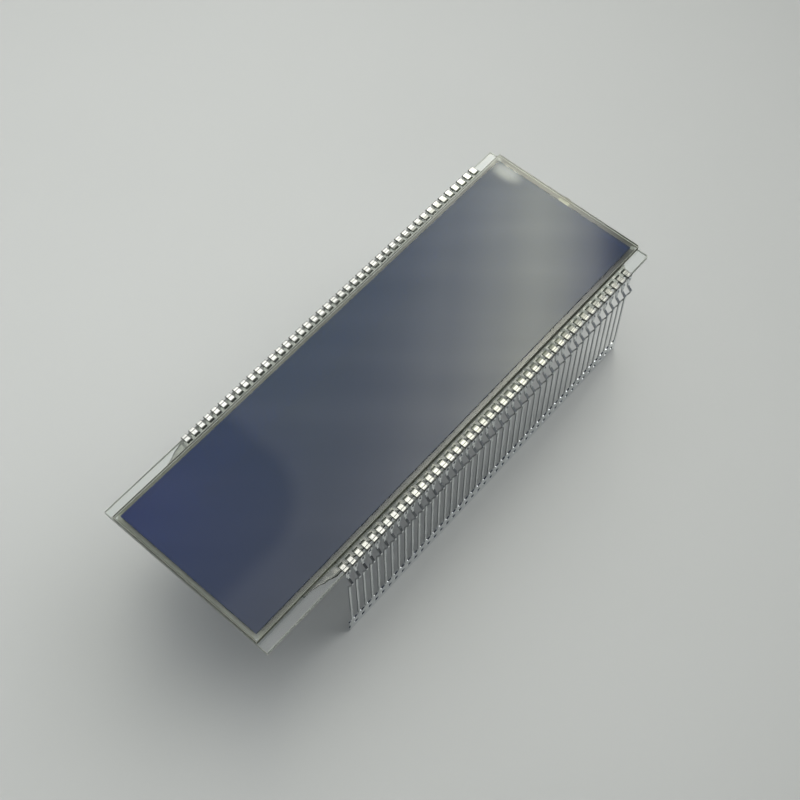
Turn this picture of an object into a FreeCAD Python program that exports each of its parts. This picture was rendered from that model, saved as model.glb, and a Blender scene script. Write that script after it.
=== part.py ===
import FreeCAD, Part
import Sketcher
import math
import os

# Segment display: two glass sheets around a thin liquid layer, a polarising film on each side,
# and a row of spring clips with long legs along both long edges. The legs of each row still
# hang on the carrier bar that they were stamped with, and the display stands on the two bars.
# Frame: +X runs along the long side towards the sealed filling port, the near row of pins is
# at -Y, +Z is up. The origin is at the centre of the bounding box's bottom. Millimetres.

DRIVING_SIZES = (
    # The glass sheets
    ("rear_glass_width", "37.8", "rear sheet, across the two ledges"),
    ("ledge_width", "2.2", "bare strip of rear glass beside the front sheet"),
    ("glass_thickness", "1.1", "each sheet"),
    ("glass_corner_radius", "0.3", "ground corners at the port end"),
    ("cell_gap", "0.01", "between the sheets"),
    ("ledge_height", "25.4", "top face of the rear sheet above the foot of the bars"),
    # The rows of pins
    ("pin_count", "44", "pins in each row"),
    ("pin_pitch", "1.8", "between neighbouring pins"),
    ("first_pin_inset", "18.8", "first pin from the plain end of the glass"),
    ("last_pin_inset", "6.0", "last pin from the port end of the glass"),
    ("strip_thickness", "0.25", "sheet metal of the combs"),
    ("bend_radius", "0.12", "inner radius of every bend"),
    ("leg_width", "0.45", "leg, stem and lower tongue"),
    ("clip_width", "1.1", "head and upper arm"),
    ("arm_tip_clearance", "0.65", "tip of the upper arm to the front sheet"),
    ("window_kerf", "0.04", "shear gap on each side of the lower tongue"),
    ("window_margin", "0.06", "window's top below the start of the arm's bend"),
    ("shoulder_drop", "0.45", "height in which the head narrows to the stem"),
    ("knee_top_drop", "2.9", "start of the knee below the ledge"),
    ("knee_apex_drop", "4.05", "furthest point of the knee below the ledge"),
    ("knee_end_drop", "6.4", "end of the knee below the ledge"),
    ("knee_reach", "0.95", "how far the knee stands out"),
    # The carrier bars
    ("bar_height", "3.4", "bar between its foot and the notches"),
    ("pilot_diameter", "1.0", "pilot holes between the legs"),
    ("bar_tail", "0.3", "cut end of the bar past the last leg's middle"),
    # The films
    ("film_thickness", "0.2", "polarising film with its adhesive"),
    ("film_margin_plain", "0.95", "film to the plain end of the glass"),
    ("film_margin_port", "1.55", "film to the port end of the glass"),
    ("film_margin_near", "0.95", "film to the near edge of the front sheet"),
    ("film_margin_far", "1.1", "film to the far edge of the front sheet"),
    ("film_corner_radius", "0.2", "corners of the film"),
    # The edge seal, its dots and the port
    ("seal_margin", "0.3", "clear strip between the seal and the glass edge"),
    ("seal_width", "1.2", "printed line of epoxy"),
    ("seal_inner_radius", "0.4", "inner corners of the seal"),
    ("dot_diameter", "0.8", "conductive dots in the seal's corners"),
    ("port_width", "2.5", "gap in the seal where the cell was filled"),
    ("port_offset", "0.4", "middle of the port from the display's middle"),
    ("port_channel", "0.2", "liquid left in the port behind the plug"),
    ("plug_width", "3.4", "drop of resin along the glass edge"),
    ("plug_proud", "0.7", "drop of resin outside the glass, and half its height"),
    # The adhesive along the clips
    ("glue_height", "0.2", "bead above the ledge"),
    ("glue_round", "0.1", "rounding of the bead's top edge"),
    ("glue_edge_inset", "0.15", "bead to the outer edge of the ledge"),
    ("glue_tail_plain", "8.1", "bead past the first pin, towards the plain end"),
    ("glue_tail_port", "1.3", "bead past the last pin, towards the port end"),
    ("glue_tip_width", "0.5", "bead at the thin tip of its long tail"),
)

DERIVED_SIZES = (
    ("pin_span", "(pin_count - 1) * pin_pitch"),
    ("glass_length", "first_pin_inset + pin_span + last_pin_inset"),
    ("glass_left", "-(glass_length + plug_proud) / 2"),
    ("glass_right", "glass_left + glass_length"),
    ("first_pin_x", "glass_left + first_pin_inset"),
    ("last_pin_x", "first_pin_x + pin_span"),
    ("front_glass_width", "rear_glass_width - 2 * ledge_width"),
    ("rear_bottom", "ledge_height - glass_thickness"),
    ("front_bottom", "ledge_height + cell_gap"),
    ("front_top", "front_bottom + glass_thickness"),
    # The head's inner bend is tangent to the glass edge, so it clears the corner of the sheet.
    ("strip_half", "strip_thickness / 2"),
    ("edge_offset", "strip_half + bend_radius"),
    ("bend_outer_radius", "bend_radius + strip_thickness"),
    ("comb_offset", "rear_glass_width / 2 + edge_offset"),
    ("arm_tip", "edge_offset + ledge_width - arm_tip_clearance"),
    ("arm_top", "ledge_height + strip_thickness"),
    # The tongue is sheared out of the window above it, so its length is the window's height.
    ("tongue_middle", "rear_bottom - strip_half"),
    ("window_bottom", "rear_bottom - strip_thickness - bend_radius"),
    ("window_top", "ledge_height - bend_radius - window_margin"),
    ("tongue_bend_length", "1.5707963 * edge_offset"),
    ("tongue_tip", "edge_offset + window_top - window_bottom - tongue_bend_length"),
    ("shoulder_bottom", "window_bottom - shoulder_drop"),
    ("notch_radius", "(pin_pitch - leg_width) / 2"),
    ("leg_foot", "bar_height + notch_radius"),
    ("seal_inset", "seal_margin + seal_width"),
    ("dot_inset", "seal_margin + seal_width / 2"),
    ("seal_outer_radius", "seal_inner_radius + seal_width / 2"),
    ("plug_reach", "seal_inset - port_channel"),
    ("plug_curve_radius", "(plug_proud ^ 2 + (plug_width / 2) ^ 2) / (2 * plug_proud)"),
)

EDGE_TOLERANCE = 1e-4


def fill_sheet(doc):
    """Write the driving sizes as plain numbers and the derived ones as formulas."""
    sheet = doc.addObject("Spreadsheet::Sheet", "sizes")
    row = 1
    for alias, value, meaning in DRIVING_SIZES:
        sheet.set(f"A{row}", meaning)
        sheet.set(f"B{row}", value)
        sheet.setAlias(f"B{row}", alias)
        row += 1
    for alias, formula in DERIVED_SIZES:
        sheet.set(f"A{row}", alias.replace("_", " "))
        sheet.set(f"B{row}", "=" + formula)
        sheet.setAlias(f"B{row}", alias)
        row += 1
    doc.recompute()
    return sheet


def number(owner, expression):
    """Value of an expression on the sheet, as a plain number."""
    return float(owner.evalExpression(expression))


def new_body(doc, label, base=None, turn=0.0):
    """An empty body, turned about +Z and placed by three expressions."""
    body = doc.addObject("PartDesign::Body", label)
    body.Label = label
    body.Placement.Rotation = FreeCAD.Rotation(FreeCAD.Vector(0, 0, 1), turn)
    if base is not None:
        for axis, expression in zip("xyz", base):
            body.setExpression(f"Placement.Base.{axis}", expression)
    return body


def origin_feature(body, role):
    return next(item for item in body.Origin.OriginFeatures if item.Role == role)


def new_sketch(body, name, plane, lift=None):
    """A sketch on one of the body's origin planes, lifted along the plane's normal."""
    sketch = body.newObject("Sketcher::SketchObject", name)
    sketch.AttachmentSupport = (origin_feature(body, plane), [""])
    sketch.MapMode = "FlatFace"
    if lift is not None:
        sketch.setExpression("AttachmentOffset.Base.z", lift)
    return sketch


def fix_point(sketch, edge, end, place):
    """Tie one point of a sketch to two expressions."""
    axes = (("DistanceX", -2), ("DistanceY", -1))
    for (kind, zero_axis), expression in zip(axes, place):
        value = number(sketch, expression)
        if abs(value) < EDGE_TOLERANCE:
            sketch.addConstraint(Sketcher.Constraint("PointOnObject", edge, end, zero_axis))
            continue
        index = sketch.addConstraint(Sketcher.Constraint(kind, -1, 1, edge, end, value))
        sketch.setExpression(f"Constraints[{index}]", expression)


def add_path(sketch, corners, closed):
    """Straight lines through corners that are given as pairs of expressions."""
    points = [FreeCAD.Vector(number(sketch, x), number(sketch, y), 0) for x, y in corners]
    ends = points[1:] + points[:1] if closed else points[1:]
    lines = [sketch.addGeometry(Part.LineSegment(a, b), False) for a, b in zip(points, ends)]
    for before, after in zip(lines, lines[1:]):
        sketch.addConstraint(Sketcher.Constraint("Coincident", before, 2, after, 1))
    if closed:
        sketch.addConstraint(Sketcher.Constraint("Coincident", lines[-1], 2, lines[0], 1))
    for line, corner in zip(lines, corners):
        fix_point(sketch, line, 1, corner)
    if not closed:
        fix_point(sketch, lines[-1], 2, corners[-1])


def add_rectangle(sketch, low, high):
    (x0, y0), (x1, y1) = low, high
    add_path(sketch, ((x0, y0), (x1, y0), (x1, y1), (x0, y1)), closed=True)


def add_circle(sketch, centre, diameter):
    middle = FreeCAD.Vector(number(sketch, centre[0]), number(sketch, centre[1]), 0)
    radius = number(sketch, diameter) / 2
    circle = Part.Circle(middle, FreeCAD.Vector(0, 0, 1), radius)
    edge = sketch.addGeometry(circle, False)
    fix_point(sketch, edge, 3, centre)
    index = sketch.addConstraint(Sketcher.Constraint("Diameter", edge, 2 * radius))
    sketch.setExpression(f"Constraints[{index}]", diameter)


def pad(body, name, sketch, length, both_ways=False):
    feature = body.newObject("PartDesign::Pad", name)
    feature.Profile = sketch
    feature.SideType = "Symmetric" if both_ways else "One side"
    feature.setExpression("Length", length)
    body.Document.recompute()
    return feature


def pocket(body, name, sketch, refine=True):
    """Cut a sketch through the body both ways, and make sure that something was removed."""
    before = body.Shape.Volume
    feature = body.newObject("PartDesign::Pocket", name)
    feature.Profile = sketch
    feature.SideType = "Symmetric"
    feature.Type = "ThroughAll"
    feature.Refine = refine
    body.Document.recompute()
    if body.Shape.Volume >= before:
        raise RuntimeError(f"{name} removed nothing")
    return feature


def fillet(body, name, edges, radius):
    """Round the edges of the body's tip that pass the test."""
    tip = body.Tip
    names = [f"Edge{i + 1}" for i, edge in enumerate(tip.Shape.Edges) if edges(edge)]
    if not names:
        raise RuntimeError(f"{name} found no edge")
    feature = body.newObject("PartDesign::Fillet", name)
    feature.Base = (tip, names)
    feature.setExpression("Radius", radius)
    body.Document.recompute()
    return feature


def repeat_along_x(body, name, features, spacing, count):
    """Repeat the given features along X, or the whole body where none is given."""
    row = body.newObject("PartDesign::LinearPattern", name)
    row.TransformMode = "Features" if features else "Whole shape"
    if features:
        row.Originals = features
    row.Direction = (origin_feature(body, "X_Axis"), [""])
    row.Mode = "Spacing"
    row.Refine = False
    row.setExpression("Offset", spacing)
    row.setExpression("Occurrences", count)
    body.Tip = row
    body.Document.recompute()
    return row


def is_upright(edge):
    start, end = edge.Vertexes[0].Point, edge.Vertexes[-1].Point
    return math.hypot(end.x - start.x, end.y - start.y) < EDGE_TOLERANCE


def runs_along_x(edge):
    start, end = edge.Vertexes[0].Point, edge.Vertexes[-1].Point
    return math.hypot(end.y - start.y, end.z - start.z) < EDGE_TOLERANCE


def glass_sheet(doc, label, width, bottom):
    """One sheet of glass with its two corners at the port end ground round."""
    body = new_body(doc, label, ("sizes.glass_left", "0", bottom))
    outline = new_sketch(body, f"{label}_outline", "XY_Plane")
    add_rectangle(outline, ("0", f"-{width} / 2"), ("sizes.glass_length", f"{width} / 2"))
    pad(body, f"{label}_sheet", outline, "sizes.glass_thickness")
    port_end = number(body, "sizes.glass_length")

    def at_port_end(edge):
        return is_upright(edge) and abs(edge.Vertexes[0].Point.x - port_end) < EDGE_TOLERANCE

    fillet(body, f"{label}_corners", at_port_end, "sizes.glass_corner_radius")
    return body


def film(doc, label, bottom):
    """A polarising film, laid by hand a little off the middle of the glass."""
    body = new_body(doc, label, ("sizes.glass_left", "0", bottom))
    outline = new_sketch(body, f"{label}_outline", "XY_Plane")
    low = ("sizes.film_margin_plain", "sizes.film_margin_near - sizes.front_glass_width / 2")
    high = (
        "sizes.glass_length - sizes.film_margin_port",
        "sizes.front_glass_width / 2 - sizes.film_margin_far",
    )
    add_rectangle(outline, low, high)
    pad(body, f"{label}_sheet", outline, "sizes.film_thickness")
    fillet(body, f"{label}_corners", is_upright, "sizes.film_corner_radius")
    return body


def cell_rectangle(sketch, inset):
    """A rectangle inside the front sheet's outline, one inset away from all four edges."""
    low = (inset, f"{inset} - sizes.front_glass_width / 2")
    high = (f"sizes.glass_length - {inset}", f"sizes.front_glass_width / 2 - {inset}")
    add_rectangle(sketch, low, high)


def port_rectangle(sketch, start, end):
    """A rectangle as wide as the port, between two places along the display."""
    low = (start, "sizes.port_offset - sizes.port_width / 2")
    high = (end, "sizes.port_offset + sizes.port_width / 2")
    add_rectangle(sketch, low, high)


def dot_circles(sketch):
    """Four circles on the middle line of the seal, at its corners."""
    for x in ("sizes.dot_inset", "sizes.glass_length - sizes.dot_inset"):
        for side in ("-", ""):
            y = f"{side}(sizes.front_glass_width / 2 - sizes.dot_inset)"
            add_circle(sketch, (x, y), "sizes.dot_diameter")


def seal_frame(doc):
    """The printed epoxy line between the sheets, open at the port."""
    body = new_body(doc, "seal_frame", ("sizes.glass_left", "0", "sizes.ledge_height"))
    outer = new_sketch(body, "seal_outer", "XY_Plane")
    cell_rectangle(outer, "sizes.seal_margin")
    pad(body, "seal_sheet", outer, "sizes.cell_gap")
    fillet(body, "seal_outer_corners", is_upright, "sizes.seal_outer_radius")
    outer_edges = {round(edge.CenterOfMass.x, 3) for edge in body.Shape.Edges if is_upright(edge)}
    inner = new_sketch(body, "seal_inner", "XY_Plane")
    cell_rectangle(inner, "sizes.seal_inset")
    pocket(body, "seal_window", inner)

    def at_window(edge):
        return is_upright(edge) and round(edge.CenterOfMass.x, 3) not in outer_edges

    fillet(body, "seal_inner_corners", at_window, "sizes.seal_inner_radius")
    port = new_sketch(body, "seal_port", "XY_Plane")
    port_rectangle(port, "sizes.glass_length - 1.5 * sizes.seal_inset", "sizes.glass_length")
    pocket(body, "seal_port_cut", port)
    seats = new_sketch(body, "seal_dot_seats", "XY_Plane")
    dot_circles(seats)
    pocket(body, "seal_dot_cut", seats)
    return body


def liquid_crystal(doc):
    """The liquid inside the seal, with the short column left in the port."""
    body = new_body(doc, "liquid_crystal", ("sizes.glass_left", "0", "sizes.ledge_height"))
    outline = new_sketch(body, "liquid_outline", "XY_Plane")
    cell_rectangle(outline, "sizes.seal_inset")
    pad(body, "liquid_sheet", outline, "sizes.cell_gap")
    fillet(body, "liquid_corners", is_upright, "sizes.seal_inner_radius")
    port = new_sketch(body, "liquid_port", "XY_Plane")
    start = "sizes.glass_length - 1.5 * sizes.seal_inset"
    port_rectangle(port, start, "sizes.glass_length - sizes.plug_reach")
    pad(body, "liquid_column", port, "sizes.cell_gap")
    return body


def transfer_dots(doc):
    """Four conductive dots, one in each corner of the seal."""
    body = new_body(doc, "transfer_dots", ("sizes.glass_left", "0", "sizes.ledge_height"))
    circles = new_sketch(body, "dot_circles", "XY_Plane")
    dot_circles(circles)
    pad(body, "dots", circles, "sizes.cell_gap")
    return body


def add_drop_outline(sketch):
    """The flat back of the drop, which lies on the glass edge, and the bow in front of it."""
    half = number(sketch, "sizes.plug_width / 2")
    bow_radius = number(sketch, "sizes.plug_curve_radius")
    proud = number(sketch, "sizes.plug_proud")
    start = FreeCAD.Vector(0, -half, 0)
    end = FreeCAD.Vector(0, half, 0)
    back = sketch.addGeometry(Part.LineSegment(start, end), False)
    bow = sketch.addGeometry(Part.Arc(start, FreeCAD.Vector(proud, 0, 0), end), False)
    fix_point(sketch, back, 1, ("0", "-sizes.plug_width / 2"))
    fix_point(sketch, back, 2, ("0", "sizes.plug_width / 2"))
    sketch.addConstraint(Sketcher.Constraint("Coincident", bow, 1, back, 1))
    sketch.addConstraint(Sketcher.Constraint("Coincident", bow, 2, back, 2))
    index = sketch.addConstraint(Sketcher.Constraint("Radius", bow, bow_radius))
    sketch.setExpression(f"Constraints[{index}]", "sizes.plug_curve_radius")


def end_seal_plug(doc):
    """A drop of resin, turned about the edge it lies on, with a tongue between the sheets."""
    middle = "sizes.ledge_height + sizes.cell_gap / 2"
    body = new_body(doc, "end_seal_plug", ("sizes.glass_right", "sizes.port_offset", middle))
    outline = new_sketch(body, "drop_outline", "XY_Plane")
    add_drop_outline(outline)
    drop = body.newObject("PartDesign::Revolution", "drop")
    drop.Profile = outline
    drop.ReferenceAxis = (outline, ["V_Axis"])
    drop.Midplane = True
    drop.Angle = 180
    doc.recompute()
    tongue = new_sketch(body, "plug_tongue_outline", "XY_Plane")
    low = ("-sizes.plug_reach", "-sizes.port_width / 2")
    add_rectangle(tongue, low, ("0", "sizes.port_width / 2"))
    pad(body, "plug_tongue", tongue, "sizes.cell_gap", both_ways=True)
    return body


def bend_test(corner, before, after, inner, reach):
    """A test for the edges on one side of a bend in the strip, which runs in the YZ plane."""
    towards_inside = (after - corner).normalize() + (before - corner).normalize()

    def passes(edge):
        offset = edge.CenterOfMass - corner
        offset.x = 0
        if not runs_along_x(edge) or offset.Length > reach:
            return False
        return (offset.dot(towards_inside) > 0) == inner

    return passes


def comb_unit_leg(body):
    """The bent strip of one pin: leg, knee, stem and the tongue under the glass."""
    heights = {
        name: f"sizes.ledge_height - sizes.{name}_drop"
        for name in ("knee_end", "knee_apex", "knee_top")
    }
    corners = (
        ("0", "sizes.leg_foot"),
        ("0", heights["knee_end"]),
        ("-sizes.knee_reach", heights["knee_apex"]),
        ("0", heights["knee_top"]),
        ("0", "sizes.tongue_middle"),
        ("sizes.tongue_tip", "sizes.tongue_middle"),
    )
    route = new_sketch(body, "leg_route", "YZ_Plane")
    add_path(route, corners, closed=False)
    section = new_sketch(body, "leg_section", "XY_Plane", "sizes.leg_foot")
    low = ("-sizes.leg_width / 2", "-sizes.strip_half")
    high = ("sizes.leg_width / 2", "sizes.strip_half")
    add_rectangle(section, low, high)
    pipe = body.newObject("PartDesign::AdditivePipe", "leg")
    pipe.Profile = section
    pipe.Spine = (route, [f"Edge{i + 1}" for i in range(len(corners) - 1)])
    pipe.Transition = "Right corner"
    body.Document.recompute()
    points = [FreeCAD.Vector(0, number(body, y), number(body, z)) for y, z in corners]
    bends = list(zip(points[1:], points, points[2:]))
    reach = number(body, "sizes.strip_thickness")
    for inner, radius in ((True, "sizes.bend_radius"), (False, "sizes.bend_outer_radius")):
        tests = [bend_test(*bend, inner, reach) for bend in bends]
        side = "inner" if inner else "outer"
        fillet(body, f"leg_bends_{side}", lambda edge: any(test(edge) for test in tests), radius)


def comb_unit_head(body):
    """The wide head beside the glass edge, with its window and the arm on the ledge."""
    plate = new_sketch(body, "head_plate", "XZ_Plane")
    half_clip = "sizes.clip_width / 2"
    half_leg = "sizes.leg_width / 2"
    outline = (
        (f"-{half_leg}", "sizes.shoulder_bottom"),
        (half_leg, "sizes.shoulder_bottom"),
        (half_clip, "sizes.window_bottom"),
        (half_clip, "sizes.arm_top"),
        (f"-{half_clip}", "sizes.arm_top"),
        (f"-{half_clip}", "sizes.window_bottom"),
    )
    add_path(plate, outline, closed=True)
    half_window = "(sizes.leg_width / 2 + sizes.window_kerf)"
    low = (f"-{half_window}", "sizes.window_bottom")
    add_rectangle(plate, low, (half_window, "sizes.window_top"))
    pad(body, "head", plate, "sizes.strip_thickness", both_ways=True)
    arm = new_sketch(body, "arm_side", "YZ_Plane")
    low = ("-sizes.strip_half", "sizes.ledge_height")
    add_rectangle(arm, low, ("sizes.arm_tip", "sizes.arm_top"))
    pad(body, "arm", arm, "sizes.clip_width", both_ways=True)
    strip_half = number(body, "sizes.strip_half")
    arm_top = number(body, "sizes.arm_top")
    ledge = number(body, "sizes.ledge_height")

    def lies_at(edge, y, z):
        middle = edge.CenterOfMass
        return runs_along_x(edge) and math.hypot(middle.y - y, middle.z - z) < EDGE_TOLERANCE

    def at_inside(edge):
        return lies_at(edge, strip_half, ledge)

    def at_outside(edge):
        return lies_at(edge, -strip_half, arm_top)

    fillet(body, "head_bend_inner", at_inside, "sizes.bend_radius")
    fillet(body, "head_bend_outer", at_outside, "sizes.bend_outer_radius")


def pin_comb(doc, label):
    """One stamped strip: a pin on one pitch of its carrier bar, repeated along the row."""
    body = new_body(doc, label, ("sizes.first_pin_x", "-sizes.comb_offset", "0"))
    bar = new_sketch(body, "bar_face", "XZ_Plane")
    low = ("-sizes.pin_pitch / 2", "0")
    add_rectangle(bar, low, ("sizes.pin_pitch / 2", "sizes.leg_foot"))
    pad(body, "bar", bar, "sizes.strip_thickness", both_ways=True)
    holes = new_sketch(body, "bar_holes", "XZ_Plane")
    for x in ("-sizes.pin_pitch / 2", "sizes.pin_pitch / 2"):
        add_circle(holes, (x, "sizes.bar_height / 2"), "sizes.pilot_diameter")
        add_circle(holes, (x, "sizes.leg_foot"), "2 * sizes.notch_radius")
    pocket(body, "bar_cut", holes)
    comb_unit_leg(body)
    comb_unit_head(body)
    repeat_along_x(body, "row", [], "sizes.pin_pitch", "sizes.pin_count")
    tail = new_sketch(body, "bar_tail", "XZ_Plane")
    low = ("sizes.pin_span + sizes.bar_tail", "-sizes.bar_height")
    add_rectangle(tail, low, ("sizes.pin_span + sizes.pin_pitch", "2 * sizes.bar_height"))
    pocket(body, "bar_tail_cut", tail, refine=False)
    return body


def turned_comb(doc, label, comb):
    """The same stamped strip again, turned half a turn to face the other ledge."""
    body = new_body(doc, label, ("sizes.last_pin_x", "sizes.comb_offset", "0"), 180.0)
    copy = body.newObject("PartDesign::FeatureBase", f"{label}_copy")
    copy.BaseFeature = comb
    body.Tip = copy
    doc.recompute()
    return body


def pin_glue(doc, label, side):
    """The bead on one ledge, from the front sheet outwards, open where the arms lie."""
    body = new_body(doc, label, ("sizes.first_pin_x", "0", "sizes.ledge_height"))
    outline = new_sketch(body, f"{label}_outline", "XY_Plane")
    inner = f"{side} * sizes.front_glass_width / 2"
    outer = f"{side} * (sizes.rear_glass_width / 2 - sizes.glue_edge_inset)"
    end = "sizes.pin_span + sizes.glue_tail_port"
    corners = (
        ("-sizes.glue_tail_plain", inner),
        ("-sizes.glue_tail_plain", f"{inner} + {side} * sizes.glue_tip_width"),
        ("-sizes.pin_pitch / 2", outer),
        ("sizes.pin_span + sizes.pin_pitch / 2", outer),
        (end, inner),
    )
    add_path(outline, corners, closed=True)
    pad(body, f"{label}_bead", outline, "sizes.glue_height")
    top = number(body, "sizes.glue_height")
    wall = abs(number(body, inner))

    def on_free_rim(edge):
        middle = edge.CenterOfMass
        return abs(middle.z - top) < EDGE_TOLERANCE and abs(middle.y) > wall + EDGE_TOLERANCE

    fillet(body, f"{label}_rim", on_free_rim, "sizes.glue_round")
    arm = new_sketch(body, f"{label}_arm_footprint", "XY_Plane")
    tip = f"{inner} + {side} * sizes.arm_tip_clearance"
    low = ("-sizes.clip_width / 2", tip)
    add_rectangle(arm, low, ("sizes.clip_width / 2", f"{side} * sizes.comb_offset"))
    seat = pocket(body, f"{label}_arm_seat", arm)
    repeat_along_x(body, f"{label}_arm_seats", [seat], "sizes.pin_pitch", "sizes.pin_count")
    return body


def check_document(doc, pieces):
    """Stop if any feature failed or any piece is not a sound solid."""
    for item in doc.Objects:
        if "Invalid" in item.State or "Error" in item.State:
            raise RuntimeError(f"{item.Name} failed: {item.State}")
    for piece in pieces:
        if piece.Shape.isNull() or not piece.Shape.isValid() or not piece.Shape.Solids:
            raise RuntimeError(f"{piece.Label} has no sound solid")


def build():
    doc = FreeCAD.newDocument("segment_display")
    fill_sheet(doc)
    near_comb = pin_comb(doc, "near_pin_comb")
    return doc, (
        glass_sheet(doc, "rear_glass", "sizes.rear_glass_width", "sizes.rear_bottom"),
        glass_sheet(doc, "front_glass", "sizes.front_glass_width", "sizes.front_bottom"),
        film(doc, "front_polariser", "sizes.front_top"),
        film(doc, "rear_polariser", "sizes.rear_bottom - sizes.film_thickness"),
        seal_frame(doc),
        liquid_crystal(doc),
        transfer_dots(doc),
        end_seal_plug(doc),
        near_comb,
        turned_comb(doc, "far_pin_comb", near_comb),
        pin_glue(doc, "near_pin_glue", "-1"),
        pin_glue(doc, "far_pin_glue", "1"),
    )


def export(pieces):
    os.makedirs("parts", exist_ok=True)
    for piece in pieces:
        piece.Shape.exportStep(f"parts/{piece.Label}.step")
        box = piece.Shape.BoundBox
        solids = len(piece.Shape.Solids)
        print(f"{piece.Label}: {solids} solid, volume {piece.Shape.Volume:.3f} mm3,"
              f" X {box.XMin:.2f} to {box.XMax:.2f}, Y {box.YMin:.2f} to {box.YMax:.2f},"
              f" Z {box.ZMin:.2f} to {box.ZMax:.2f}")


document, display_pieces = build()
document.recompute()
check_document(document, display_pieces)
export(display_pieces)
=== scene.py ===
# %% [markdown]
# # A glass display panel on two combs of clip-on pins
# The object is a bare segment display, 102 mm long: two thin glass sheets with a film on each
# side, and 44 pins clipped to each long edge. The pins come as one stamped strip, so a carrier bar
# still joins their feet, and the panel stands on those two bars like a low bridge.
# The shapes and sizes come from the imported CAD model. This script loads it, keeps the pieces
# whose shape is right, builds finer ones for the glass, the films and the clear resin, and then
# gives every piece the finish of the real material.

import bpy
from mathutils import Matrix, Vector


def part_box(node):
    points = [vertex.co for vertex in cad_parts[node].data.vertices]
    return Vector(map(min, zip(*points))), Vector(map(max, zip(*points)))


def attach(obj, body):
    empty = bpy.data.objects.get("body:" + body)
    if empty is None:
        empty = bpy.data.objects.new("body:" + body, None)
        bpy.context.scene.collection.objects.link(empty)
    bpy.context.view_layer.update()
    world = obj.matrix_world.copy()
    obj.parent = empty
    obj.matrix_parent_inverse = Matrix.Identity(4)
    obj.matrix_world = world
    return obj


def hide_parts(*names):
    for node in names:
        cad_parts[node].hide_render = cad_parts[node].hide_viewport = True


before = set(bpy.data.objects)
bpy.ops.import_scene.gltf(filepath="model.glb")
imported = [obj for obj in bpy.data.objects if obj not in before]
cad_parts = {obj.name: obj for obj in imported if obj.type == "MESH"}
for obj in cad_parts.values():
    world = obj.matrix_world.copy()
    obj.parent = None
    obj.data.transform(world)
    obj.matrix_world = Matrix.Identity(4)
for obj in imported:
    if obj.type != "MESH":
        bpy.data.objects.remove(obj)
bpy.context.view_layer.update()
print("CAD pieces:", ", ".join(sorted(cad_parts)))

# %% Modules and units
import math

import bmesh
import bpy
from mathutils import Quaternion, Vector, noise

MM = 0.001  # one millimetre in Blender's metres
scene = bpy.context.scene
scene.view_settings.view_transform = "Standard"
print("one Blender unit is", round(1 / MM), "mm")


# %% [markdown]
# ## Colours and nodes
# A colour is written as the hex value that a paint program shows. Blender works with linear
# light, so one function takes each value through the sRGB curve. A second small function adds a
# shader node, sets its settings and fills or links its inputs, so that a material reads as a list.
# Most finishes also need a cloudy pattern of a known size. The third function draws one in the
# piece's own coordinates, so it stays on the piece from every side.

# %% Colour and node helpers
def paint(hex_colour):
    """A hex colour as linear RGBA."""
    channels = [int(hex_colour[i : i + 2], 16) / 255 for i in (0, 2, 4)]
    linear = [c / 12.92 if c <= 0.04045 else ((c + 0.055) / 1.055) ** 2.4 for c in channels]
    return (*linear, 1.0)


def add_node(tree, kind, inputs=(), **settings):
    """Adds a node. Inputs come in order or by name, each a value to set or a socket to link."""
    node = tree.nodes.new("ShaderNode" + kind)
    for setting, value in settings.items():
        setattr(node, setting, value)
    for socket, value in inputs.items() if isinstance(inputs, dict) else enumerate(inputs):
        if isinstance(value, bpy.types.NodeSocket):
            tree.links.new(value, node.inputs[socket])
        else:
            node.inputs[socket].default_value = value
    return node


def patches(tree, size, detail=2.0, density=(1, 1, 1)):
    """Soft patches from 0 to 1, of a size in metres. A density under 1 draws them out that way."""
    place = add_node(tree, "TexCoord").outputs["Object"]
    scale = [along / size for along in density]
    spread = add_node(tree, "Mapping", {"Vector": place, "Scale": scale}).outputs[0]
    spots = add_node(tree, "TexNoise", {"Vector": spread, "Scale": 1.0, "Detail": detail})
    return spots.outputs["Fac"]


def new_material(name):
    """An empty material and its node tree."""
    material = bpy.data.materials.new(name)
    material.use_nodes = True
    material.node_tree.nodes.clear()
    print("material", name)
    return material, material.node_tree


# %% [markdown]
# ## The camera
# The panel is seen from its near left corner and from 60 degrees up, so its long side runs from
# the lower left to the upper right. A camera can be placed by eye or worked out. Here the place,
# the direction and the long lens were worked out, by fitting the 88 evenly spaced clips and the
# eight corners of the glass to the view.

# %% Camera
CAMERA_PLACE = Vector((-93.33, -84.98, 238.06)) * MM
CAMERA_AIM = Vector((0.37009, 0.32914, -0.86873))
CAMERA_ROLL = math.radians(-0.61)
LENS = 62.95  # in mm, for a picture 36 mm wide

camera_data = bpy.data.cameras.new("camera")
camera_data.sensor_width = 36.0
camera_data.lens = LENS
camera_data.clip_start = 10 * MM
camera = bpy.data.objects.new("camera", camera_data)
camera.rotation_mode = "QUATERNION"
camera.rotation_quaternion = CAMERA_AIM.to_track_quat("-Z", "Y") @ Quaternion((0, 0, 1), CAMERA_ROLL)
camera.location = CAMERA_PLACE
scene.collection.objects.link(camera)
scene.camera = camera
print("camera:", round(camera_data.lens, 2), "mm lens,", round(1000 * CAMERA_PLACE.length), "mm away")


# %% [markdown]
# ## The floor
# The panel stands on a smooth pale table top. It is one large sheet with a matt coat: a slight
# mottle, a grain too fine to see as dots, and painted light: a tone painted lightest behind the
# panel that fades slowly outwards, standing in for the fall of light across the table. A single
# grey would look like empty space, and these small changes are what makes it read as a surface.

# %% A helper for the set
def put_stage(shape, name, material):
    """Makes the object of a finished bmesh that is part of the set and not of the panel."""
    data = bpy.data.meshes.new(name)
    shape.to_mesh(data)
    shape.free()
    data.materials.append(material)
    thing = bpy.data.objects.new(name, data)
    scene.collection.objects.link(thing)
    print(name, "is part of the set")
    return thing


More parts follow.
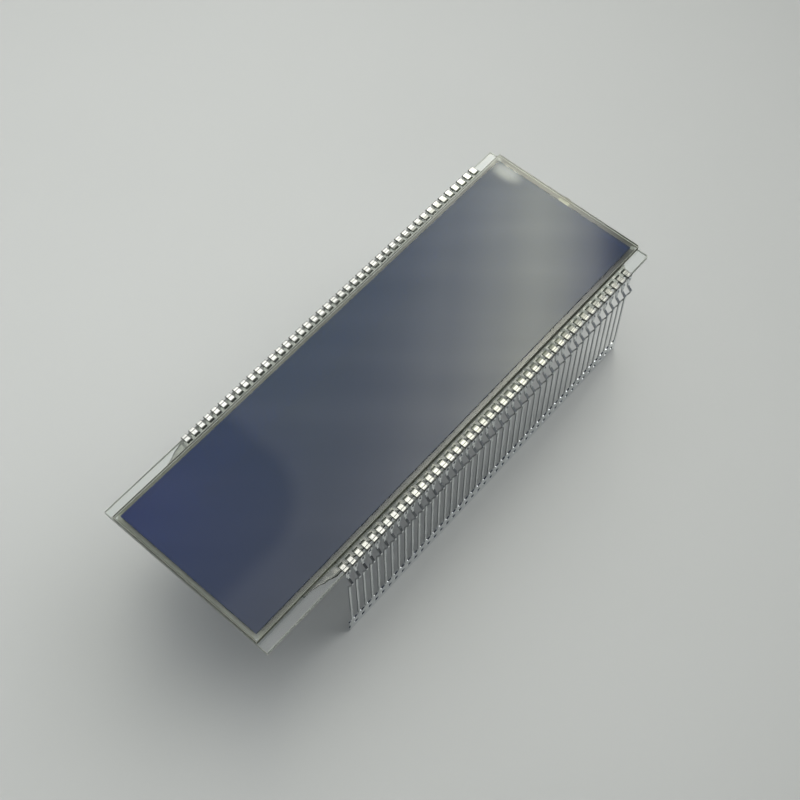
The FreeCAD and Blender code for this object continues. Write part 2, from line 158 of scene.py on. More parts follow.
# %% Matt table coat: a sealed board, dull all over, so it has no mirror and only a soft tone
PAINTED_LIGHT_SPOT = (-44 * MM, 65 * MM, 0.0)
PAINTED_LIGHT_REACH = 200 * MM
MOTTLE = 60 * MM
TABLE_GRAIN = 0.6 * MM

table_coat, tree = new_material("matt_table_coat")
place = add_node(tree, "TexCoord").outputs["Object"]
# Painted light: the coat's tone is lightest at this spot and fades outwards, as the light on the
# table falls off.
away = add_node(tree, "VectorMath", (place, PAINTED_LIGHT_SPOT), operation="DISTANCE").outputs["Value"]
fade = add_node(tree, "MapRange", (away, 0.0, PAINTED_LIGHT_REACH)).outputs[0]
fade = add_node(tree, "Math", (fade, 2.0), operation="POWER").outputs[0]
tone = add_node(tree, "MixRGB", (fade, paint("CFD1CF"), paint("AEB0AE"))).outputs[0]
mottle = patches(tree, MOTTLE, detail=3.0)
stain = add_node(tree, "MapRange", (mottle, 0.3, 0.7, 0.0, 0.05)).outputs[0]
tone = add_node(tree, "MixRGB", (stain, tone, paint("A9ADA8"))).outputs[0]
grain = patches(tree, TABLE_GRAIN, detail=4.0)
relief = add_node(tree, "Bump", {"Height": grain, "Distance": 0.01 * MM, "Strength": 0.4})
coat = add_node(tree, "BsdfPrincipled", {
    "Base Color": tone,
    "Roughness": add_node(tree, "MapRange", (mottle, 0.3, 0.7, 0.62, 0.72)).outputs[0],
    "Specular IOR Level": 0.2,
    "Normal": relief.outputs[0],
})
add_node(tree, "OutputMaterial", {"Surface": coat.outputs[0]})

# %% Table top
TABLE_HALF = 3.0  # far past the edges of the view

table = bmesh.new()
bmesh.ops.create_grid(table, x_segments=1, y_segments=1, size=TABLE_HALF)
put_stage(table, "floor", table_coat)


# %% [markdown]
# ## The light
# All light comes from one large tent around the table, as from tall soft windows on two sides of
# a room. It is bright on the far right, where a band of stronger light ends in a dark edge,
# fainter on the far left, and nearly dark behind the camera. So the shadow falls towards the
# camera, the film mirrors the band, and the pins have bright and dark sides.
# Lamps could light the table as well, but a film is a mirror: what it shows is the picture of the
# room in it. So the tent is one glowing surface, and its brightness is drawn where the film
# looks. The tent is a real mesh, but the camera looks past it to the plain pale room.

# %% Tent sizes and levels
TENT_RADIUS = 1.5
TENT_LEVEL = 1.15
BRIGHTEST = 6.0  # what a level of 1 stands for in the patterns below
ROOM_FILL = 0.16  # what comes from the dark side
BRIGHT_SIDE = (0.673, 0.721, 0.164)  # the direction of the tent's bright half
SIDE_DARK, SIDE_BRIGHT = -0.13, 0.32  # how much a point faces that way where it is dark, or bright
LOWEST = 0.02  # keeps the flat ceiling's far ends within reach

tent_glow, tree = new_material("light_tent_glow")
place = add_node(tree, "TexCoord").outputs["Object"]
direction = add_node(tree, "VectorMath", (place,), operation="NORMALIZE").outputs["Vector"]
facing = add_node(tree, "VectorMath", (direction, BRIGHT_SIDE), operation="DOT_PRODUCT")
ends = (facing.outputs["Value"], SIDE_DARK, SIDE_BRIGHT)
side = add_node(tree, "MapRange", ends, interpolation_type="SMOOTHSTEP").outputs[0]

# %% [markdown]
# ## What the film mirrors
# A flat film mirrors the tent as if it were a flat ceiling. So the direction of each point of
# the tent is carried on to a ceiling one unit up, and the patterns are drawn there with straight
# edges: the slanted band, a dimmer panel with one rounded corner, one small long lamp, and faint
# level streaks.

# %% The flat ceiling and its slanted band
# Each pair is a place on a slanted line in the ceiling, from the far left to the near right, and
# its brightness: faint, then the bright band, its dark edge and the plain window.
BAND = [(-1.0, 0.60), (-0.50, 1.1), (-0.27, 1.35), (-0.189, 1.5), (-0.145, 1.75), (-0.106, 2.1),
        (-0.063, 2.7), (-0.024, 3.1), (0.02, 4.0), (0.058, 4.7), (0.10, 5.6), (0.129, 5.3),
        (0.167, 4.3), (0.211, 2.6), (0.249, 0.8), (0.31, 0.65), (0.50, 1.0), (1.25, 1.9)]
BAND_START, BAND_END = -1.2, 1.4
BAND_SLANT = (1.0, -1.41, 0.0)

height = add_node(tree, "SeparateXYZ", (direction,)).outputs["Z"]
height = add_node(tree, "Math", (height, LOWEST), operation="MAXIMUM").outputs[0]
rise = add_node(tree, "Math", (1.0, height), operation="DIVIDE").outputs[0]
ceiling = add_node(tree, "VectorMath", {0: direction, "Scale": rise}, operation="SCALE").outputs[0]

slant = add_node(tree, "VectorMath", (ceiling, BAND_SLANT), operation="DOT_PRODUCT").outputs["Value"]
across = add_node(tree, "MapRange", (slant, BAND_START, BAND_END)).outputs[0]
band = add_node(tree, "ValToRGB", {"Fac": across})
ramp = band.color_ramp
while len(ramp.elements) < len(BAND):
    ramp.elements.new(0.5)
for element, (where, level) in zip(ramp.elements, BAND):
    element.position = (where - BAND_START) / (BAND_END - BAND_START)
    element.color = (level / BRIGHTEST, level / BRIGHTEST, level / BRIGHTEST, 1.0)
ramp.interpolation = "CARDINAL"
level = add_node(tree, "Math", (band.outputs["Color"], side), operation="MULTIPLY").outputs[0]
print("band of light:", len(ramp.elements), "levels")

# %% The dim panel with a rounded corner
DIM_CORNER = (0.297, 0.353)
DIM_ROUND = 0.068
DIM_BLUR = 0.008
DIM_SHARE = 0.66

corner = (DIM_CORNER[0] - DIM_ROUND, DIM_CORNER[1] + DIM_ROUND, 0.0)
out = add_node(tree, "VectorMath", (ceiling, corner), operation="SUBTRACT").outputs[0]
out = add_node(tree, "VectorMath", (out, (1.0, -1.0, 0.0)), operation="MULTIPLY").outputs[0]
out = add_node(tree, "VectorMath", (out, (0.0, 0.0, 0.0)), operation="MAXIMUM").outputs[0]
out = add_node(tree, "VectorMath", (out,), operation="LENGTH").outputs["Value"]
edge = (out, DIM_ROUND - DIM_BLUR, DIM_ROUND + DIM_BLUR, DIM_SHARE, 1.0)
open_part = add_node(tree, "MapRange", edge).outputs[0]
level = add_node(tree, "Math", (level, open_part), operation="MULTIPLY").outputs[0]

# %% The small long lamp, and the fill from the whole room
LAMP_SPOT = (0.694, 0.462, 1.0)
LAMP_SHAPE = (1.9, 1.0, 1.0)  # how much shorter it is along each axis
LAMP_CORE, LAMP_EDGE = 0.008, 0.022
LAMP_LEVEL = 1.1

away = add_node(tree, "VectorMath", (ceiling, LAMP_SPOT), operation="SUBTRACT").outputs[0]
away = add_node(tree, "VectorMath", (away, LAMP_SHAPE), operation="MULTIPLY").outputs[0]
away = add_node(tree, "VectorMath", (away,), operation="LENGTH").outputs["Value"]
lamp = add_node(tree, "MapRange", (away, LAMP_CORE, LAMP_EDGE, LAMP_LEVEL, 0.0)).outputs[0]
level = add_node(tree, "Math", (level, lamp), operation="ADD").outputs[0]
level = add_node(tree, "Math", (level, ROOM_FILL / BRIGHTEST), operation="ADD").outputs[0]

# %% The colour of the light: warmest where it is brightest, and cool where it is faint
warm = add_node(tree, "MapRange", (level, 0.3, 0.9)).outputs[0]
colour = add_node(tree, "MixRGB", (warm, paint("FFFFFF"), paint("FFFEEE"))).outputs[0]
open_sky = add_node(tree, "MapRange", (level, 0.03, 0.2)).outputs[0]
colour = add_node(tree, "MixRGB", (open_sky, paint("F4FAFF"), colour)).outputs[0]
full = BRIGHTEST * TENT_LEVEL
level = add_node(tree, "Math", (level, full), operation="MULTIPLY").outputs[0]
print("brightest light:", round(full, 2))

# %% Faint level streaks, and one dark thing low on the camera's side that the pins mirror
STREAK_TURN = 0.844  # turns the streaks level with the camera's view
STREAK_DRAW = (1.0, 9.0, 0.0)  # nine times as long as wide
STREAK_SCALE = 3.2
STREAK_DEPTH = 0.08
DARK_THING = (0.20, -0.94, 0.27)
DARK_EDGE, DARK_CORE = 0.955, 0.99  # cosines of the angle from its middle
DARK_SHARE = 0.12

turn = {"Vector": ceiling, "Angle": STREAK_TURN}
turned = add_node(tree, "VectorRotate", turn, rotation_type="Z_AXIS").outputs[0]
streak = add_node(tree, "VectorMath", (turned, STREAK_DRAW), operation="MULTIPLY").outputs[0]
streak = add_node(tree, "TexNoise", {"Vector": streak, "Scale": STREAK_SCALE, "Detail": 3.0})
ends = (streak.outputs["Fac"], 0.3, 0.7, 1.0 - STREAK_DEPTH, 1.0 + STREAK_DEPTH)
streak = add_node(tree, "MapRange", ends).outputs[0]
level = add_node(tree, "Math", (level, streak), operation="MULTIPLY").outputs[0]

near = add_node(tree, "VectorMath", (direction, DARK_THING), operation="DOT_PRODUCT")
ends = (near.outputs["Value"], DARK_EDGE, DARK_CORE, 1.0, DARK_SHARE)
shade = add_node(tree, "MapRange", ends).outputs[0]
level = add_node(tree, "Math", (level, shade), operation="MULTIPLY").outputs[0]
light = add_node(tree, "Emission", {"Color": colour, "Strength": level})
add_node(tree, "OutputMaterial", {"Surface": light.outputs[0]})

# %% The tent itself: half a sphere that glows inwards
tent_shape = bmesh.new()
bmesh.ops.create_uvsphere(tent_shape, u_segments=48, v_segments=24, radius=TENT_RADIUS)
bmesh.ops.bisect_plane(
    tent_shape, geom=tent_shape.verts[:] + tent_shape.edges[:] + tent_shape.faces[:],
    plane_co=(0, 0, MM), plane_no=(0, 0, 1), clear_inner=True,
)
bmesh.ops.reverse_faces(tent_shape, faces=tent_shape.faces)
tent = put_stage(tent_shape, "light_tent", tent_glow)
tent.visible_camera = False
tent.visible_transmission = False

# %% Plain room behind the tent
world = bpy.data.worlds.new("room")
world.use_nodes = True
tree = world.node_tree
tree.nodes.clear()
room = add_node(tree, "Background", {"Color": paint("D2D4CF"), "Strength": 1.0})
add_node(tree, "OutputWorld", {"Surface": room.outputs[0]})
scene.world = world
print("world:", world.name)


# %% [markdown]
# ## Finishing a piece
# Every new piece starts as a bmesh. One function turns it into an object, gives it its materials,
# joins it to the panel's one body and hides the CAD node that it stands for. A second one cuts
# flat sheets. A plain box would have edges with no width, and no light would catch on them, so
# each edge gets a narrow bevel, as the real sheets have.

# %% Piece helpers
def put_piece(shape, name, materials, stands_for):
    """Makes the object of a finished bmesh. It rides on the panel and replaces a CAD node."""
    data = bpy.data.meshes.new(name)
    shape.to_mesh(data)
    shape.free()
    for material in materials:
        data.materials.append(material)
    piece = bpy.data.objects.new(name, data)
    scene.collection.objects.link(piece)
    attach(piece, "root")
    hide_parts(stands_for)
    print(name, len(data.vertices), "points,", len(data.polygons), "faces")


TOUCHING = 1e-6  # a thousandth of a millimetre, taken as no distance
SHARP = 0.5  # in radians; the five small steps of a rounded corner turn less


def cut_sheet(low, high, seam, corner=0.0):
    """A flat sheet between two corners with a small bevel on each edge.

    The two standing edges at the filling-port end can have rounder corners.
    """
    shape = bmesh.new()
    bmesh.ops.create_cube(shape, size=1.0)
    bmesh.ops.scale(shape, vec=high - low, verts=shape.verts)
    bmesh.ops.translate(shape, vec=(low + high) / 2, verts=shape.verts)
    if corner:
        ends = [e for e in shape.edges if min(v.co.x for v in e.verts) > high.x - TOUCHING]
        ends = [e for e in ends if abs(e.verts[0].co.y - e.verts[1].co.y) < TOUCHING]
        bmesh.ops.bevel(
            shape, geom=ends, offset=corner, segments=5, profile=0.5, affect="EDGES", material=-1,
        )
    sharp = [e for e in shape.edges if e.calc_face_angle() > SHARP]
    bmesh.ops.bevel(
        shape, geom=sharp, offset=seam, segments=2, profile=0.5, affect="EDGES", material=-1,
    )
    return shape


# %% [markdown]
# ## Clear sheet glass
# Both sheets are soda-lime float glass, the window kind, 1.1 mm thick. Its faces are fire-smooth
# and mirror about 4 percent of the light. The edges are scribed and broken, then seamed with a
# diamond belt, which leaves a narrow ground line.
# One material for the whole sheet would make the edges as clear as the faces. So a sheet has
# four: its clear faces, its broken edges, its ground seams, and a lower face that can be stained.
# Real glass throws only a pale shadow. The renderer can't find the light's way through it, so for
# shadows alone the solid counts as see-through.

# %% Clear solids
GLASS_IOR = 1.52


def clear_solid(name, hex_colour, ior, dull, ripple=None, haze=None):
    """A clear solid that bends light, and lets the tent's light through to what is behind it.

    Dull patches have a size, a detail and the least and most roughness. A ripple has a size, a
    detail, a depth and a strength. Haze is a colour and the share of the surface that scatters
    light in it: a number, or a function that draws a pattern in the node tree.
    """
    material, tree = new_material(name)
    spots = patches(tree, dull["size"], dull["detail"])
    low, high = dull.get("between", (0.3, 0.7))
    rough = add_node(tree, "MapRange", (spots, low, high, dull["least"], dull["most"])).outputs[0]
    inputs = {"Base Color": paint(hex_colour), "Roughness": rough, "IOR": ior,
              "Transmission Weight": 1.0}
    if ripple:
        waves = patches(tree, ripple["size"], ripple["detail"])
        relief = {"Height": waves, "Distance": ripple["depth"], "Strength": ripple["strength"]}
        inputs["Normal"] = add_node(tree, "Bump", relief).outputs[0]
    body = add_node(tree, "BsdfPrincipled", inputs)
    if haze:
        hex_haze, share = haze
        scatter = add_node(tree, "BsdfDiffuse", {"Color": paint(hex_haze)}).outputs[0]
        share = share(tree) if callable(share) else share
        body = add_node(tree, "MixShader", (share, body.outputs[0], scatter))
    through = add_node(tree, "BsdfTransparent", {"Color": paint(hex_colour)})
    shadow = add_node(tree, "LightPath").outputs["Is Shadow Ray"]
    mix = add_node(tree, "MixShader", (shadow, body.outputs[0], through.outputs[0]))
    add_node(tree, "OutputMaterial", {"Surface": mix.outputs[0]})
    return material


# %% Glass finishes
# Fire-smooth faces: clear, with a trace of dust that dulls the mirror in patches.
DUST = {"size": 9 * MM, "detail": 3.0, "between": (0.45, 0.8), "least": 0.0, "most": 0.05}
float_glass = clear_solid("float_glass", "FBFEFC", GLASS_IOR, DUST)
# Broken edges: rippled and half frosted, so they scatter a pale line of light.
broken_edge = clear_solid(
    "broken_glass_edge", "E4EDE6", GLASS_IOR,
    dull={"size": 0.5 * MM, "detail": 4.0, "least": 0.15, "most": 0.35},
    ripple={"size": 0.6 * MM, "detail": 3.0, "depth": 0.01 * MM, "strength": 0.4},
    haze=("C4C7C0", 0.6),
)
# The front sheet's broken edges, which the seal comes out to and stains an olive grey.
sealed_edge = clear_solid(
    "sealed_glass_edge", "D9DFCF", GLASS_IOR,
    dull={"size": 0.5 * MM, "detail": 4.0, "least": 0.2, "most": 0.4},
    ripple={"size": 0.9 * MM, "detail": 2.0, "depth": 0.01 * MM, "strength": 0.4},
    haze=("68685C", 0.74),
)
# Seams: ground to a fine frost, which scatters light and reads as a whitish line.
ground_seam = clear_solid(
    "ground_glass_seam", "EEF4EF", GLASS_IOR,
    dull={"size": 0.3 * MM, "detail": 4.0, "least": 0.3, "most": 0.6},
    ripple={"size": 0.2 * MM, "detail": 3.0, "depth": 0.01 * MM, "strength": 0.5},
    haze=("C9C9BC", 0.4),
)

# %% Seal stain
CREEP = 0.06 * MM  # how softly the stain starts at the seal's outer line
STAIN_SHARE = 0.85


def outside_seal(tree):
    """The stain's share: high in the strip between the seal's outer line and the glass rim."""
    low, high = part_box("seal_frame")
    place = add_node(tree, "SeparateXYZ", (add_node(tree, "TexCoord").outputs["Object"],)).outputs
    middle = (low.x + high.x) / 2
    along = add_node(tree, "Math", (place["X"], middle), operation="SUBTRACT").outputs[0]
    strips = []
    for value, reach in ((along, (high.x - low.x) / 2), (place["Y"], high.y)):
        away = add_node(tree, "Math", (value,), operation="ABSOLUTE").outputs[0]
        strip = add_node(tree, "MapRange", (away, reach - CREEP, reach, 0.0, STAIN_SHARE))
        strips.append(strip.outputs[0])
    return add_node(tree, "Math", strips, operation="MAXIMUM").outputs[0]


# The front sheet's lower face, where a little of the seal has crept out under its rim.
stained_glass = clear_solid(
    "seal_stained_glass", "FBFEFC", GLASS_IOR, DUST, haze=("5C5C50", outside_seal),
)

# %% Glass sheets
SEAM = 0.09 * MM
PORT_CORNER = 0.3 * MM
SKIN = 0.002 * MM  # the sheets stay this far inside their CAD faces, so that no two faces coincide
FLAT_ON = 0.99  # the share of a normal along one axis, above which a face is square to it


def glass_sheet(node, edge_finish, lower_finish):
    """A sheet in the place of a CAD node, with clear faces, broken edges and ground seams."""
    low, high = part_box(node)
    inset = Vector((0, 0, SKIN))
    shape = cut_sheet(low + inset, high - inset, SEAM, PORT_CORNER)
    finishes = [float_glass, edge_finish, ground_seam, lower_finish]
    for face in shape.faces:
        square = max(abs(part) for part in face.normal) > FLAT_ON
        face.material_index = 0 if abs(face.normal.z) > FLAT_ON else 1 if square else 2
        if face.normal.z < -FLAT_ON:
            face.material_index = 3
    put_piece(shape, node + "_sheet", finishes, node)


glass_sheet("rear_glass", broken_edge, float_glass)
glass_sheet("front_glass", sealed_edge, stained_glass)


# %% [markdown]
# ## Polarising film
# Each outer face carries a stretched, dyed plastic film. Two of them with the display switched
# off let through only a little deep blue light, and the front one mirrors the room in its smooth
# hard coat. A plain black gloss would mirror as well, but it would lose that depth. So the film is
# a tinted see-through sheet with some dye that scatters, under a clear gloss. The scattering colour
# holds painted light: a painted shade, bluest round one corner, and painted tones, greyer along the
# near edge and teal along the far one, as the film looks from this side.

# %% Film materials
COAT_IOR = 1.45
# Painted shade: the film's scattering colour is painted bluest round this corner.
PAINTED_SHADE_CORNER = (-50 * MM, 16 * MM, 26 * MM)  # the dye looks bluest round this corner
PAINTED_SHADE_REACH = 34 * MM
NEAR_EDGE, FAR_EDGE = -16 * MM, 16 * MM
FINGER_MARKS = 14 * MM


def dyed_film(name, hex_tint, hex_near_painted_tone, hex_far_painted_tone, body_share):
    """A see-through tinted film with a smooth coat, whose scattering colour holds painted shade and
    painted tones. Only the side that light meets mirrors it.
    """
    material, tree = new_material(name)
    place = add_node(tree, "TexCoord").outputs["Object"]
    away = add_node(tree, "VectorMath", (place, PAINTED_SHADE_CORNER), operation="DISTANCE").outputs["Value"]
    cloud = add_node(tree, "MapRange", (away, 0.0, PAINTED_SHADE_REACH, 1.0, 0.0)).outputs[0]
    width = add_node(tree, "SeparateXYZ", (place,)).outputs["Y"]
    width = add_node(tree, "MapRange", (width, NEAR_EDGE, FAR_EDGE)).outputs[0]
    # Painted tones: greyer along the near edge and teal along the far one, then the painted shade
    # round the corner.
    dye = add_node(tree, "MixRGB", (width, paint(hex_near_painted_tone), paint(hex_far_painted_tone))).outputs[0]
    dye = add_node(tree, "MixRGB", (cloud, dye, paint("3A559E"))).outputs[0]
    tint = add_node(tree, "BsdfTransparent", {"Color": paint(hex_tint)}).outputs[0]
    body = add_node(tree, "BsdfDiffuse", {"Color": dye, "Roughness": 0.3}).outputs[0]
    film = add_node(tree, "MixShader", (body_share, tint, body)).outputs[0]

    marks = patches(tree, FINGER_MARKS, detail=3.0)
    dull = add_node(tree, "MapRange", (marks, 0.4, 0.75, 0.01, 0.05)).outputs[0]
    coat = add_node(tree, "BsdfGlossy", {"Color": paint("FDFFFA"), "Roughness": dull}).outputs[0]
    mirror = add_node(tree, "Fresnel", {"IOR": COAT_IOR}).outputs[0]
    inside = add_node(tree, "NewGeometry").outputs["Backfacing"]
    outside = add_node(tree, "Math", (1.0, inside), operation="SUBTRACT").outputs[0]
    share = add_node(tree, "Math", (mirror, outside), operation="MULTIPLY").outputs[0]
    mix = add_node(tree, "MixShader", (share, film, coat)).outputs[0]
    add_node(tree, "OutputMaterial", {"Surface": mix})
    return material


# The front film holds nearly all of the blue-black dye that the eye sees.
front_film = dyed_film("dyed_polarising_film", "4769A0", "3F567A", "2B5A82", 0.25)
# The rear film looks the same from below, but the light through both is set by the front one.
rear_film = dyed_film("dyed_rear_film", "D0D6E2", "3A4A66", "3A4A66", 0.08)

# %% Film sheets
FILM_SEAM = 0.03 * MM
for node, finish in (("front_polariser", front_film), ("rear_polariser", rear_film)):
    low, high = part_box(node)
    put_piece(cut_sheet(low, high, FILM_SEAM), node + "_film", [finish], node)


# %% [markdown]
# ## Clips, legs and carrier bars
# The combs are stamped from thin phosphor bronze strip and plated with tin: a soft bright white
# metal, smooth on the rolled faces. Their CAD shapes are right and stay as they are, so all the
# detail is in the metal, and much of it is painted light and shade.
# A clip is hardly a millimetre wide. What the eye sees of it is a bright square with dark sides,
# so painted shade is drawn by distance from the pin's middle and from the panel's middle line: at
# the arms' tips, rims and crease, over their inner part, and on the legs' sides. The near row's
# arms are a painted shaded copy of the far row's.
# The patterns repeat with the pins' pitch, and one material serves all 88 pins.

# %% Tin: rolled, with a painted shaded copy and a painted lit copy for the arms
PITCH = 1.8 * MM
FIRST_PIN = -32.65 * MM
PINS = 44
LAST_PIN = FIRST_PIN + (PINS - 1) * PITCH
CLIP_HALF = 0.55 * MM
LEG_HALF = 0.225 * MM

tin, tree = new_material("tinned_bronze")
roll = patches(tree, 0.4 * MM, detail=3.0, density=(1, 1, 0.15))  # lines left by the rolls
cloud = patches(tree, 2.5 * MM)
plain = add_node(tree, "MixRGB", (cloud, paint("DCDFE0"), paint("EDF0F1"))).outputs[0]
shaded_arm_copy = add_node(tree, "MixRGB", (roll, paint("8C8D89"), paint("B0B0AB"))).outputs[0]
bright = add_node(tree, "MixRGB", (roll, paint("CFD0CA"), paint("F2F2EA"))).outputs[0]
print("pins from", round(FIRST_PIN / MM, 2), "to", round(LAST_PIN / MM, 2), "mm")

# %% Where a point lies: out from the middle line, and along from its pin's middle
place = add_node(tree, "SeparateXYZ", (add_node(tree, "TexCoord").outputs["Object"],)).outputs
out = add_node(tree, "Math", (place["Y"],), operation="ABSOLUTE").outputs[0]
along = add_node(tree, "Math", (place["X"], FIRST_PIN - PITCH / 2), operation="SUBTRACT").outputs[0]
along = add_node(tree, "Math", (along, PITCH), operation="MODULO").outputs[0]
along = add_node(tree, "Math", (along, PITCH / 2), operation="SUBTRACT").outputs[0]
along = add_node(tree, "Math", (along,), operation="ABSOLUTE").outputs[0]
on_arm = add_node(tree, "MapRange", (place["Z"], 25.2 * MM, 25.35 * MM)).outputs[0]
far_row = add_node(tree, "MapRange", (place["Y"], -1 * MM, 1 * MM)).outputs[0]

# %% Painted shade on a clip's arm: at its tip, along a thin line in the crease before the bend, and on its rims
ARM_TIP = 17.65 * MM
CREASE_SHADE_LINE = 18.52 * MM

tip_shade = add_node(tree, "MapRange", (out, ARM_TIP, ARM_TIP + 0.25 * MM, 1.0, 0.0)).outputs[0]
crease_shade = add_node(tree, "Math", (out, CREASE_SHADE_LINE), operation="SUBTRACT").outputs[0]
crease_shade = add_node(tree, "Math", (crease_shade,), operation="ABSOLUTE").outputs[0]
crease_shade = add_node(tree, "MapRange", (crease_shade, 0.05 * MM, 0.11 * MM, 0.8, 0.0)).outputs[0]
rim_shade = (along, CLIP_HALF - 0.13 * MM, CLIP_HALF - 0.03 * MM, 0.0, 0.9)
rim_shade = add_node(tree, "MapRange", rim_shade).outputs[0]

# %% Painted shade on the inner part of the arms, which reaches further out near the port
inner_shade_reach = (place["X"], 14 * MM, 34 * MM, 18.0 * MM, 18.4 * MM)
inner_shade_reach = add_node(tree, "MapRange", inner_shade_reach).outputs[0]
inner_arm_shade = add_node(tree, "Math", (inner_shade_reach, out), operation="SUBTRACT").outputs[0]
inner_arm_shade = add_node(tree, "MapRange", (inner_arm_shade, 0.0, 0.08 * MM, 0.42, 1.0)).outputs[0]
near_port = add_node(tree, "MapRange", (place["X"], -24 * MM, 6 * MM, 0.0, 0.85)).outputs[0]
at_port = add_node(tree, "MapRange", (place["X"], 24 * MM, 46 * MM, 1.0, 0.45)).outputs[0]
near_port = add_node(tree, "Math", (near_port, at_port), operation="MULTIPLY").outputs[0]
inner_arm_shade = add_node(tree, "Math", (inner_arm_shade, near_port), operation="MULTIPLY").outputs[0]

arm_shade = tip_shade
for mark in (crease_shade, rim_shade, inner_arm_shade):
    arm_shade = add_node(tree, "Math", (arm_shade, mark), operation="MAXIMUM").outputs[0]
arm_shade = add_node(tree, "Math", (arm_shade, on_arm), operation="MULTIPLY").outputs[0]

# %% Painted shade on the sides of the legs, darker than their faces
leg_side_shade = (along, LEG_HALF - 0.03 * MM, LEG_HALF - 0.01 * MM, 0.0, 0.5)
leg_side_shade = add_node(tree, "MapRange", leg_side_shade).outputs[0]
past_leg = (along, LEG_HALF + 0.01 * MM, LEG_HALF + 0.02 * MM, 1.0, 0.0)
past_leg = add_node(tree, "MapRange", past_leg).outputs[0]
above_bar = add_node(tree, "MapRange", (place["Z"], 3.6 * MM, 4.0 * MM)).outputs[0]
for limit in (past_leg, above_bar):
    leg_side_shade = add_node(tree, "Math", (leg_side_shade, limit), operation="MULTIPLY").outputs[0]

# %% The whole pin, and the two combs
# The legs' sides take a painted dark grey.
plain = add_node(tree, "MixRGB", (leg_side_shade, plain, paint("565854"))).outputs[0]
# Painted light and shade by row: the near row's arms take the darker copy and the far row's the
# brighter one.
shaded_arm_copy = add_node(tree, "MixRGB", (far_row, shaded_arm_copy, bright)).outputs[0]
tone = add_node(tree, "MixRGB", (on_arm, plain, shaded_arm_copy)).outputs[0]
# The arms' painted shade is a dark grey.
tone = add_node(tree, "MixRGB", (arm_shade, tone, paint("2E312D"))).outputs[0]
relief = add_node(tree, "Bump", {"Height": roll, "Distance": 0.02 * MM, "Strength": 0.6})
metal = add_node(tree, "BsdfPrincipled", {
    "Base Color": tone,
    "Metallic": 1.0,
    "Roughness": add_node(tree, "MapRange", (cloud, 0.35, 0.7, 0.10, 0.22)).outputs[0],
    "Normal": relief.outputs[0],
})
add_node(tree, "OutputMaterial", {"Surface": metal.outputs[0]})


def dress_node(node, material):
    """Gives a CAD node's object a finish and leaves its mesh alone."""
    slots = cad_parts[node].material_slots
    for slot in slots:
        slot.material = material
    print(node, "has", material.name, "on", len(slots), "slots")


for comb in ("near_pin_comb", "far_pin_comb"):
    dress_node(comb, tin)


# %% [markdown]
# ## Seal, liquid, dots and plug
# The two glass sheets are joined by a printed line of epoxy seal, an olive grey that looks paler
# at the plain end and darker towards the port. The liquid between them is a clear layer a
# hundredth of a millimetre thin, four silver dots in the seal's corners join the two sheets'
# electrodes, and a drop of cured resin closes the filling port.
# They are all solids of the CAD model, and most of their surface lies under glass. So they keep
# their shapes, and each gets the finish that shows through.

# %% Printed epoxy seal: filled and matt, so it shows a soft tone and no shine
seal_epoxy, tree = new_material("printed_epoxy_seal")
length = add_node(tree, "SeparateXYZ", (add_node(tree, "TexCoord").outputs["Object"],)).outputs["X"]
cured = add_node(tree, "MapRange", (length, -45 * MM, 48 * MM)).outputs[0]
tone = add_node(tree, "MixRGB", (cured, paint("68695C"), paint("40403A"))).outputs[0]
plain_end = add_node(tree, "MapRange", (length, -50 * MM, -49 * MM, 1.0, 0.0)).outputs[0]
tone = add_node(tree, "MixRGB", (plain_end, tone, paint("8A8B7C"))).outputs[0]
drift = patches(tree, 6 * MM)
pale = add_node(tree, "MapRange", (drift, 0.35, 0.75, 0.0, 0.15)).outputs[0]
tone = add_node(tree, "MixRGB", (pale, tone, paint("8E8F82"))).outputs[0]
speck = patches(tree, 0.9 * MM)
relief = add_node(tree, "Bump", {"Height": speck, "Distance": 0.002 * MM, "Strength": 0.3})
body = add_node(tree, "BsdfPrincipled", {
    "Base Color": tone,
    "Specular IOR Level": 0.0,
    "Roughness": add_node(tree, "MapRange", (speck, 0.3, 0.7, 0.45, 0.65)).outputs[0],
    "Normal": relief.outputs[0],
})
add_node(tree, "OutputMaterial", {"Surface": body.outputs[0]})
dress_node("seal_frame", seal_epoxy)

# %% Silver-loaded epoxy: metal flakes in resin, which sparkle dully
silver, tree = new_material("silver_loaded_epoxy")
flake = patches(tree, 0.08 * MM, detail=3.0)
body = add_node(tree, "BsdfPrincipled", {
    "Base Color": add_node(tree, "MixRGB", (flake, paint("80817B"), paint("A6A79E"))).outputs[0],
    "Metallic": 0.6,
    "Roughness": add_node(tree, "MapRange", (flake, 0.3, 0.7, 0.4, 0.6)).outputs[0],
})
add_node(tree, "OutputMaterial", {"Surface": body.outputs[0]})
dress_node("transfer_dots", silver)

# %% Liquid: so thin that it only tints what is behind it
liquid, tree = new_material("thin_clear_liquid")
swirl = patches(tree, 12 * MM)
tone = add_node(tree, "MixRGB", (swirl, paint("F6F7F3"), paint("FFFFFC"))).outputs[0]
body = add_node(tree, "BsdfTransparent", {"Color": tone})
add_node(tree, "OutputMaterial", {"Surface": body.outputs[0]})
dress_node("liquid_crystal", liquid)

# %% Plug: clear resin that cured with a faint straw colour and a few ripples
RESIN_IOR = 1.5

plug_resin = clear_solid(
    "cured_port_resin", "F3F1E2", RESIN_IOR,
    dull={"size": 0.6 * MM, "detail": 3.0, "least": 0.03, "most": 0.12},
    ripple={"size": 0.8 * MM, "detail": 3.0, "depth": 0.02 * MM, "strength": 0.6},
    haze=("827F6A", 0.6),
)
dress_node("end_seal_plug", plug_resin)


# %% [markdown]
# ## Adhesive beads
# A bead of clear adhesive holds each row of clips on its ledge. It was laid with a needle, so its
# outline wanders, it stands higher round each clip, and past the first clip it thins to a long
# tail along the front glass. A bevelled strip would be too even for that. So the bead starts as a
# fine grid whose points are moved out to the wandering outline, and one extrusion down to the
# glass closes it.

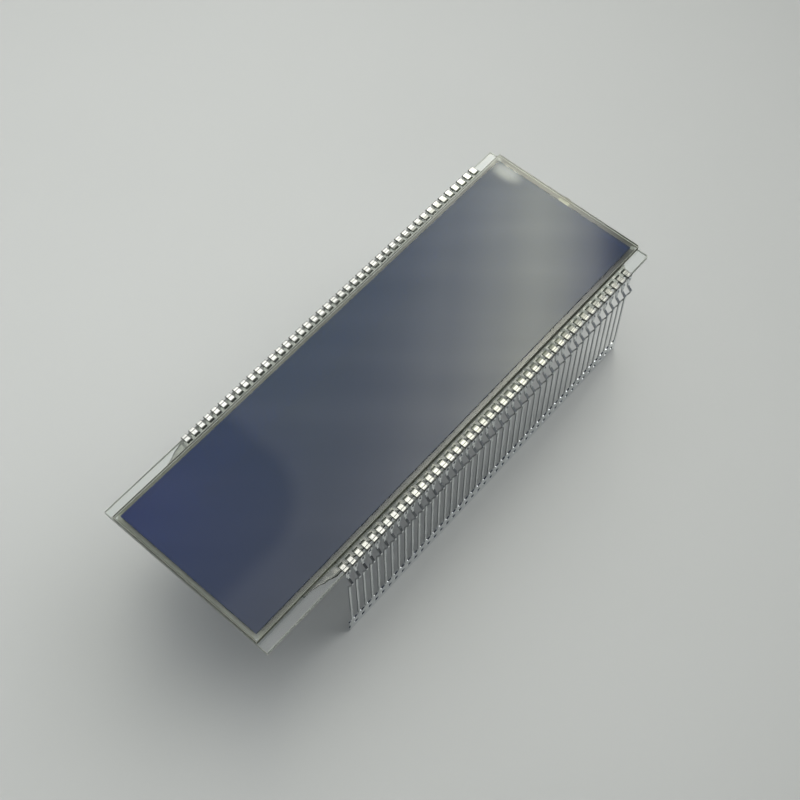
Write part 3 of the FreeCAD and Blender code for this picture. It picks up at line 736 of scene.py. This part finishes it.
# %% Bead resin: clear and glossy, so it shows as small bright lines round the clips
# Its grey tint is painted shade: it darkens what shows through the bead.
bead_resin = clear_solid(
    "clear_pin_adhesive", "CFD1C9", RESIN_IOR,
    dull={"size": 0.5 * MM, "detail": 3.0, "least": 0.02, "most": 0.08},
    ripple={"size": 0.9 * MM, "detail": 1.0, "depth": 0.01 * MM, "strength": 0.5},
)

# %% Adhesive beads
CELLS_ALONG, CELLS_ACROSS = 420, 6
TAIL_TIP = 0.3 * MM
PINCH = 0.12 * MM  # how much narrower the bead is between two clips
WALL_GAP = 0.01 * MM
FOOT = 0.02 * MM
CROWN, SWELL, LUMPS = 0.12, 0.05, 0.02  # heights in mm: the bead's, its swell at a clip, its lumps


def wander(x, size, seed):
    """A smooth value between about -1 and 1 that changes along x over the given size."""
    return noise.noise(Vector((x / size, seed, 0.0)))


def adhesive_bead(node, side, first_clip, last_clip):
    """The bead in the place of a CAD node, on the near side (-1) or the far side (+1)."""
    low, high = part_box(node)
    wall = min(abs(low.y), abs(high.y))
    full = abs(high.y - low.y)
    shape = bmesh.new()
    bmesh.ops.create_grid(shape, x_segments=CELLS_ALONG, y_segments=CELLS_ACROSS, size=0.5)
    for point in shape.verts:
        x = low.x + (point.co.x + 0.5) * (high.x - low.x)
        share = point.co.y + 0.5
        past = max(first_clip - x, x - last_clip, 0.0)
        reach = first_clip - low.x if x < first_clip else high.x - last_clip
        reach = max(reach, TOUCHING)
        fade = 1.0 - min(past / reach, 1.0)
        fade = (fade * fade * (3 - 2 * fade)) ** 1.5
        near_clip = abs((x - FIRST_PIN + PITCH / 2) % PITCH - PITCH / 2) / (PITCH / 2)
        width = TAIL_TIP + (full - TAIL_TIP) * fade
        width *= 0.9 + 0.1 * wander(x, 1.1 * MM, side) * (1 + past / (2 * MM)) / (1 + past / (4 * MM))
        width = min(width - PINCH * near_clip * fade, full)
        rise = CROWN + SWELL * (1 - near_clip) + LUMPS * wander(x, 1.6 * MM, 5 + side)
        rise *= math.sqrt(max(1.0 - share**2.5, 0.0)) * (0.15 + 0.85 * fade)
        point.co = (x, side * (wall + WALL_GAP + share * width), low.z + FOOT + rise * MM)
    made = bmesh.ops.extrude_face_region(shape, geom=shape.faces[:], use_keep_orig=True)
    for item in made["geom"]:
        if isinstance(item, bmesh.types.BMVert):
            item.co.z = low.z + SKIN
    bmesh.ops.recalc_face_normals(shape, faces=shape.faces)
    for face in shape.faces:
        face.smooth = True
    put_piece(shape, node + "_bead", [bead_resin], node)


for node, side in (("near_pin_glue", -1), ("far_pin_glue", 1)):
    adhesive_bead(node, side, FIRST_PIN - 1.0 * MM, LAST_PIN + 0.6 * MM)
